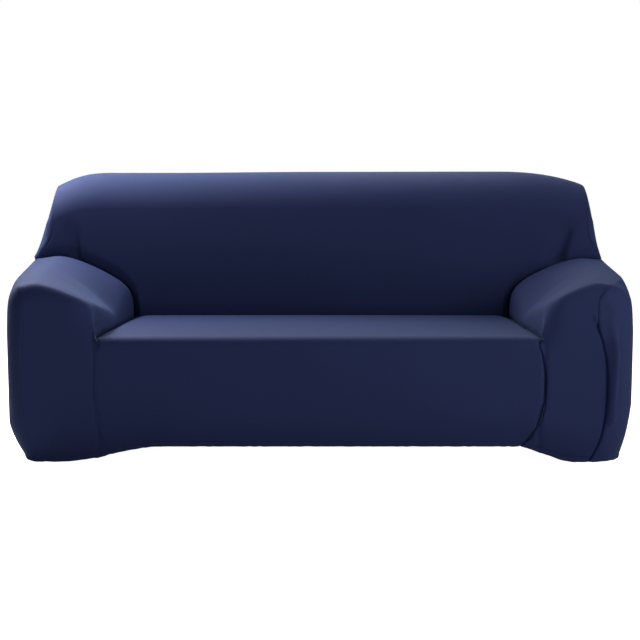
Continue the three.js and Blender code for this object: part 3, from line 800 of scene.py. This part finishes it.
def nodeMakers(tree, *wanted):
    # short calls for the nodes that are used again and again
    def feed(socket, value):
        if isinstance(value, bpy.types.NodeSocket):
            tree.links.new(value, socket)
        else:
            socket.default_value = value

    def calc(operation, *values):
        node = tree.nodes.new("ShaderNodeMath")
        node.operation = operation
        for socket, value in zip(node.inputs, values):
            feed(socket, value)
        return node.outputs[0]

    def smooth(value, low, high, first=0.0, last=1.0):
        node = tree.nodes.new("ShaderNodeMapRange")
        node.interpolation_type = "SMOOTHSTEP"
        for socket, given in zip(node.inputs, (value, low, high, first, last)):
            feed(socket, given)
        return node.outputs[0]

    def noise(vector, scale, detail=2.0, roughness=0.5):
        node = tree.nodes.new("ShaderNodeTexNoise")
        settings = {"Vector": vector, "Scale": scale, "Detail": detail, "Roughness": roughness}
        for label, given in settings.items():
            feed(node.inputs[label], given)
        return node.outputs[0]

    def split(vector):
        node = tree.nodes.new("ShaderNodeSeparateXYZ")
        feed(node.inputs[0], vector)
        return node.outputs

    def join(x, y, z=0.0):
        node = tree.nodes.new("ShaderNodeCombineXYZ")
        for socket, value in zip(node.inputs, (x, y, z)):
            feed(socket, value)
        return node.outputs[0]

    makers = {"feed": feed, "calc": calc, "smooth": smooth, "noise": noise, "split": split, "join": join}
    return [makers[name] for name in wanted]


# The knit, lengths in metres: how wide a loop is and how tall, how much its legs slant and how it swells
knitForm = {"wale": 0.0012, "course": 0.0009, "slant": 0.9, "loopSwell": 0.25, "legSwell": 0.7}


def makeKnitLoops():
    # rows of small V-shaped loops, as on the right side of a single jersey, with their height also given as
    # a painted shade for the valleys between them
    group, given, result = newGroup(
        "knitLoops",
        [("Grain", "Vector", None), ("Wale", "Float", knitForm["wale"]),
         ("Course", "Float", knitForm["course"]), ("Depth", "Float", 0.0001)],
        [("Height", "Float"), ("Shade", "Float")])
    feed, calc, split = nodeMakers(group, "feed", "calc", "split")
    place = split(given.outputs["Grain"])
    column = calc("SUBTRACT", calc("FRACT", calc("DIVIDE", place[0], given.outputs["Wale"])), 0.5)
    aside = calc("MULTIPLY", calc("ABSOLUTE", column), 2.0)
    row = calc("DIVIDE", place[1], given.outputs["Course"])
    slant = calc("ADD", row, calc("MULTIPLY", aside, knitForm["slant"]))
    turn = calc("SINE", calc("MULTIPLY", slant, 2 * math.pi))
    loop = calc("ADD", calc("MULTIPLY", turn, knitForm["loopSwell"]), 0.5)
    leg = calc("MULTIPLY", calc("SINE", calc("MULTIPLY", aside, math.pi)), knitForm["legSwell"])
    height = calc("MULTIPLY", loop, calc("ADD", leg, 1 - knitForm["legSwell"]))
    feed(result.inputs["Height"], calc("MULTIPLY", height, given.outputs["Depth"]))
    # the loops' height also comes out as a tone: painted shade, darker in the valleys and lighter on the
    # loop tops
    feed(result.inputs["Shade"], height)
    return group


# The seams' wrinkles, lengths in metres: how far apart they are and how far they run, how quickly they
# change away from the seam, and where the painted shade in the seam itself starts to fade and ends
puckerForm = {
    "spacing": 0.016,
    "reach": 0.028,
    "change": 22.0,
    "detail": 1.5,
    "roughness": 0.45,
    "swell": 2.0,
    "shade": (0.0010, 0.0070),
}


def makeSeamPuckersAndShade():
    # short wrinkles that run away from a seam, and painted shade in the seam itself
    group, given, result = newGroup(
        "seamPuckersAndShade",
        [("Seam", "Vector", None), ("Depth", "Float", 0.0012),
         ("Spacing", "Float", puckerForm["spacing"]), ("Reach", "Float", puckerForm["reach"])],
        [("Height", "Float"), ("Shade", "Float")])
    feed, calc, smooth, noise, split, join = nodeMakers(
        group, "feed", "calc", "smooth", "noise", "split", "join")
    away, along, strength = split(given.outputs["Seam"])
    outwards = calc("MULTIPLY", away, puckerForm["change"])
    place = join(calc("DIVIDE", along, given.outputs["Spacing"]), outwards)
    ripple = calc("SUBTRACT", noise(place, 1.0, puckerForm["detail"], puckerForm["roughness"]), 0.5)
    fading = smooth(away, 0.0, given.outputs["Reach"], 1.0, 0.0)
    depth = calc("MULTIPLY", calc("MULTIPLY", given.outputs["Depth"], strength), puckerForm["swell"])
    feed(result.inputs["Height"], calc("MULTIPLY", calc("MULTIPLY", ripple, fading), depth))
    # painted shade: darkest in the seam's groove, as strong as the seam's gathering
    feed(result.inputs["Shade"], calc("MULTIPLY", smooth(away, *puckerForm["shade"], 1.0, 0.0), strength))
    return group


# The hem, lengths in metres: its two rows of stitches, and the small gathers of the elastic
stitchForm = {
    "rows": (0.0185, 0.0145),
    "stitch": 0.0034,
    "gap": (0.28, 0.38),
    "rowEdge": (0.0003, 0.0009),
    "threadRise": 1.6,
    "sunk": 0.0004,
    "gathers": 0.0011,
    "gatherChange": (130.0, 12.0),
    "gatherReach": (0.012, 0.034),
}


def makeHemStitching():
    # two rows of stitches beside each other, and the small gathers of the elastic below them
    group, given, result = newGroup(
        "hemStitching",
        [("Hem", "Vector", None), ("Upper Row", "Float", stitchForm["rows"][0]),
         ("Lower Row", "Float", stitchForm["rows"][1]), ("Stitch", "Float", stitchForm["stitch"]),
         ("Gathers", "Float", stitchForm["gathers"])],
        [("Height", "Float"), ("Thread", "Float")])
    feed, calc, smooth, noise, split, join = nodeMakers(
        group, "feed", "calc", "smooth", "noise", "split", "join")
    away, along = split(given.outputs["Hem"])[:2]
    stitch = calc("FRACT", calc("DIVIDE", along, given.outputs["Stitch"]))
    dash = smooth(calc("ABSOLUTE", calc("SUBTRACT", stitch, 0.5)), *stitchForm["gap"], 1.0, 0.0)
    fromRows = [
        calc("ABSOLUTE", calc("SUBTRACT", away, given.outputs[label]))
        for label in ("Upper Row", "Lower Row")]
    bothRows = calc("MAXIMUM", *(smooth(each, *stitchForm["rowEdge"], 1.0, 0.0) for each in fromRows))
    thread = calc("MULTIPLY", bothRows, dash)
    change = stitchForm["gatherChange"]
    place = join(calc("MULTIPLY", along, change[0]), calc("MULTIPLY", away, change[1]))
    gather = calc("SUBTRACT", noise(place, 1.0, 1.0), 0.5)
    fading = smooth(away, *stitchForm["gatherReach"], 1.0, 0.0)
    ripple = calc("MULTIPLY", calc("MULTIPLY", gather, fading), given.outputs["Gathers"])
    raised = calc("SUBTRACT", calc("MULTIPLY", thread, stitchForm["threadRise"]), bothRows)
    feed(result.inputs["Height"], calc("ADD", ripple, calc("MULTIPLY", raised, stitchForm["sunk"])))
    feed(result.inputs["Thread"], thread)
    return group


# Uneven places in the colour: how small they are, their detail and their roughness
patchForm = {"broad": (2.6, 3.0, 0.5), "fine": (240.0, 2.0, 0.6)}


def makeClothShade():
    # soft uneven places: the dye takes a little differently, and the stretch thins the pile in patches
    group, given, result = newGroup(
        "clothShade",
        [("Grain", "Vector", None), ("Broad", "Float", patchForm["broad"][0]),
         ("Fine", "Float", patchForm["fine"][0])],
        [("Broad Shade", "Float"), ("Fine Shade", "Float")])
    feed, noise = nodeMakers(group, "feed", "noise")
    for label, form in (("Broad", patchForm["broad"]), ("Fine", patchForm["fine"])):
        patches = noise(given.outputs["Grain"], given.outputs[label], *form[1:])
        feed(result.inputs[label + " Shade"], patches)
    return group


clothGroups = {
    "loops": makeKnitLoops(),
    "puckers": makeSeamPuckersAndShade(),
    "hem": makeHemStitching(),
    "shade": makeClothShade(),
}

# Finish of the two sides of the cloth, and what they share, with the painted shade in the seams and creases
# and between the knit's loops
bothSides = {
    "thread": (0.010, 0.013, 0.052),
    "seamPaintedShade": 0.9,
    "seamPaintedShadeColour": (0.001, 0.003, 0.028),
    "broadShade": 0.16,
    "specular": 0.1,
}
clothLooks = {
    "navyKnit": {
        "colour": (0.0120, 0.0183, 0.062),
        "fineShade": 0.22,
        "loopPaintedShade": 0.25,
        "loopDepth": 0.00016,
        "puckerDepth": 0.0016,
        "roughness": 0.78,
        "sheen": 0.06,
        "sheenRoughness": 0.4,
        "sheenTint": (0.40, 0.60, 1.0),
    },
    "navyKnitReverse": {
        "colour": (0.017, 0.022, 0.070),
        "fineShade": 0.3,
        "loopPaintedShade": 0.35,
        "loopDepth": 0.00022,
        "puckerDepth": 0.001,
        "roughness": 0.9,
        "sheen": 0.15,
        "sheenRoughness": 0.5,
        "sheenTint": (0.50, 0.75, 1.0),
    },
}


def makeCloth(name, look):
    material = bpy.data.materials.new(name)
    material.use_nodes = True
    tree = material.node_tree
    feed, calc = nodeMakers(tree, "feed", "calc")
    shader = tree.nodes["Principled BSDF"]

    def attribute(label):
        node = tree.nodes.new("ShaderNodeAttribute")
        node.attribute_name = label
        return node.outputs["Vector"]

    def place(key, **values):
        node = tree.nodes.new("ShaderNodeGroup")
        node.node_tree = clothGroups[key]
        for label, value in values.items():
            feed(node.inputs[label], value)
        return node.outputs

    def blendColour(share, first, second):
        node = tree.nodes.new("ShaderNodeMix")
        node.data_type = "RGBA"
        feed(node.inputs["Factor"], share)
        feed(node.inputs["A"], first)
        feed(node.inputs["B"], second)
        return node.outputs["Result"]

    grain = attribute("clothGrain")
    loops = place("loops", Grain=grain, Depth=look["loopDepth"])
    puckers = place("puckers", Seam=attribute("seamWork"), Depth=look["puckerDepth"])
    hem = place("hem", Hem=attribute("hemWork"))
    shade = place("shade", Grain=grain)

    def around(value, amount):
        return calc("ADD", calc("MULTIPLY", calc("SUBTRACT", value, 0.5), amount), 1.0)

    # the loops' tone is painted shade between the loops; the broad and fine patches are tone that differs
    # at random
    tone = around(loops["Shade"], look["loopPaintedShade"])
    tone = calc("MULTIPLY", tone, around(shade["Broad Shade"], look["broadShade"]))
    tone = calc("MULTIPLY", tone, around(shade["Fine Shade"], look["fineShade"]))
    base = blendColour(hem["Thread"], (*look["colour"], 1.0), (*look["thread"], 1.0))
    scaled = tree.nodes.new("ShaderNodeVectorMath")
    scaled.operation = "SCALE"
    feed(scaled.inputs[0], base)
    feed(scaled.inputs["Scale"], tone)
    # painted shade: the colour darkens towards a dark navy in the seams and creases, as the shade in their
    # grooves
    paintedSeamShade = calc("MULTIPLY", puckers["Shade"], look["seamPaintedShade"])
    feed(shader.inputs["Base Color"], blendColour(paintedSeamShade, scaled.outputs[0], (*look["seamPaintedShadeColour"], 1.0)))
    height = calc("ADD", calc("ADD", loops["Height"], puckers["Height"]), hem["Height"])
    bump = tree.nodes.new("ShaderNodeBump")
    bump.inputs["Distance"].default_value = 1.0
    feed(bump.inputs["Height"], height)
    feed(shader.inputs["Normal"], bump.outputs[0])
    shader.inputs["Roughness"].default_value = look["roughness"]
    shader.inputs["Specular IOR Level"].default_value = look["specular"]
    shader.inputs["Sheen Weight"].default_value = look["sheen"]
    shader.inputs["Sheen Roughness"].default_value = look["sheenRoughness"]
    shader.inputs["Sheen Tint"].default_value = (*look["sheenTint"], 1.0)
    return material


cloths = [makeCloth(name, {**bothSides, **look}) for name, look in clothLooks.items()]
print("materials made:", ", ".join(clothLooks))

# The panels: the size that each was cut to before it was stretched, in metres, and its flat area
panelCuts = {
    "seat_panel": {"flat": (1.42, 0.98), "area": 1.25},
    "back_panel": {"flat": (2.05, 1.55), "area": 2.75},
    "left_arm_panel": {"flat": (0.40, 1.10), "area": 0.35},
    "right_arm_panel": {"flat": (0.40, 1.10), "area": 0.33},
    "left_side_panel": {"flat": (0.90, 0.86), "area": 0.55},
    "right_side_panel": {"flat": (0.90, 0.86), "area": 0.55},
}
for name, cut in panelCuts.items():
    panel = panelMesh(name, cloths)
    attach(panel, "root")
    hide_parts(name)
    surface = sum(face.area for face in panel.data.polygons) / 2
    print(name, "faces", len(panel.data.polygons), "stretched area", round(surface, 3))

# Studio: a plain pale floor and room that look white, and soft lights: name, place, what it points at,
# size and power
studio = {
    "floorSize": 30.0,
    "floorDrop": 0.002,
    "floorColour": (0.8, 0.8, 0.8, 1.0),
    "floorRoughness": 0.9,
    "lights": [
        ("leftRearLight", (-2.4, 1.8, 2.4), (-0.4, 0.1, 0.7), (1.2, 1.2), 30),
        ("backLight", (0.0, 1.8, 2.6), (0.0, 0.2, 0.8), (2.0, 1.0), 40),
        ("overBackLight", (-0.2, 0.55, 2.0), (-0.1, 0.3, 0.9), (2.2, 0.4), 27),
        ("topLight", (0.0, 0.0, 3.2), (0.0, 0.0, 0.4), (2.0, 1.2), 9),
        ("leftArmLight", (-1.5, 0.5, 1.8), (-0.95, -0.1, 0.6), (0.7, 0.7), 47),
        ("overArmLight", (-1.35, 0.25, 1.5), (-0.95, -0.15, 0.6), (0.5, 0.6), 13),
        ("rightLight", (4.0, -1.5, 1.2), (0.5, 0.0, 0.4), (1.2, 1.6), 50),
        ("highRightLight", (3.2, -0.8, 2.2), (0.5, 0.0, 0.5), (1.2, 1.2), 8),
        ("nearRightLight", (2.4, -2.4, 1.5), (0.8, -0.3, 0.4), (1.0, 1.2), 18),
        ("frontRightLight", (2.8, -4.5, 1.5), (0.0, 0.0, 0.4), (1.6, 1.6), 26),
        ("frontLeftLight", (-1.5, -3.0, 2.6), (-0.3, 0.0, 0.5), (1.4, 1.2), 12),
        ("highFrontLight", (1.5, -3.0, 2.6), (0.3, 0.0, 0.5), (1.4, 1.2), 26),
    ],
}
cameraForm = {
    "at": (-0.001, -5.94, 1.32),
    "pitch": 8.5,
    "focalPixels": 1642.0,
    "imagePixels": 640,
    "sensorWidth": 36.0,
    "clipEnd": 60.0,
}
white = (1, 1, 1, 1)


def makeStudio():
    half = studio["floorSize"] / 2
    corners = [(-half, -half, 0), (half, -half, 0), (half, half, 0), (-half, half, 0)]
    mesh = bpy.data.meshes.new("paleFloor")
    mesh.from_pydata(corners, [], [(0, 1, 2, 3)])
    floor = bpy.data.objects.new("paleFloor", mesh)
    bpy.context.scene.collection.objects.link(floor)
    floor.location.z = -studio["floorDrop"]
    material = bpy.data.materials.new("paleFloorPaint")
    material.use_nodes = True
    nodes, links = material.node_tree.nodes, material.node_tree.links
    paint = nodes["Principled BSDF"]
    paint.inputs["Base Color"].default_value = studio["floorColour"]
    paint.inputs["Roughness"].default_value = studio["floorRoughness"]
    paint.inputs["Emission Color"].default_value = white
    lightPath = nodes.new("ShaderNodeLightPath")
    links.new(lightPath.outputs["Is Camera Ray"], paint.inputs["Emission Strength"])
    mesh.materials.append(material)
    world = bpy.data.worlds.new("whiteRoom")
    bpy.context.scene.world = world
    world.use_nodes = True
    nodes, links = world.node_tree.nodes, world.node_tree.links
    nodes["Background"].inputs["Color"].default_value = white
    lightPath = nodes.new("ShaderNodeLightPath")
    links.new(lightPath.outputs["Is Camera Ray"], nodes["Background"].inputs["Strength"])


makeStudio()
for name, at, aim, size, power in studio["lights"]:
    lamp = bpy.data.lights.new(name, "AREA")
    lamp.shape = "RECTANGLE"
    lamp.size, lamp.size_y = size
    lamp.energy = power
    holder = bpy.data.objects.new(name, lamp)
    bpy.context.scene.collection.objects.link(holder)
    holder.location = at
    holder.rotation_euler = (Vector(aim) - Vector(at)).to_track_quat("-Z", "Y").to_euler()

camera = bpy.data.cameras.new("studioCamera")
camera.sensor_width = cameraForm["sensorWidth"]
camera.lens = camera.sensor_width * cameraForm["focalPixels"] / cameraForm["imagePixels"]
camera.clip_end = cameraForm["clipEnd"]
cameraHolder = bpy.data.objects.new("studioCamera", camera)
bpy.context.scene.collection.objects.link(cameraHolder)
cameraHolder.location = cameraForm["at"]
cameraHolder.rotation_euler = (math.radians(90 - cameraForm["pitch"]), 0, 0)
bpy.context.scene.camera = cameraHolder
bpy.context.scene.view_settings.view_transform = "Standard"
print("studio and camera set")
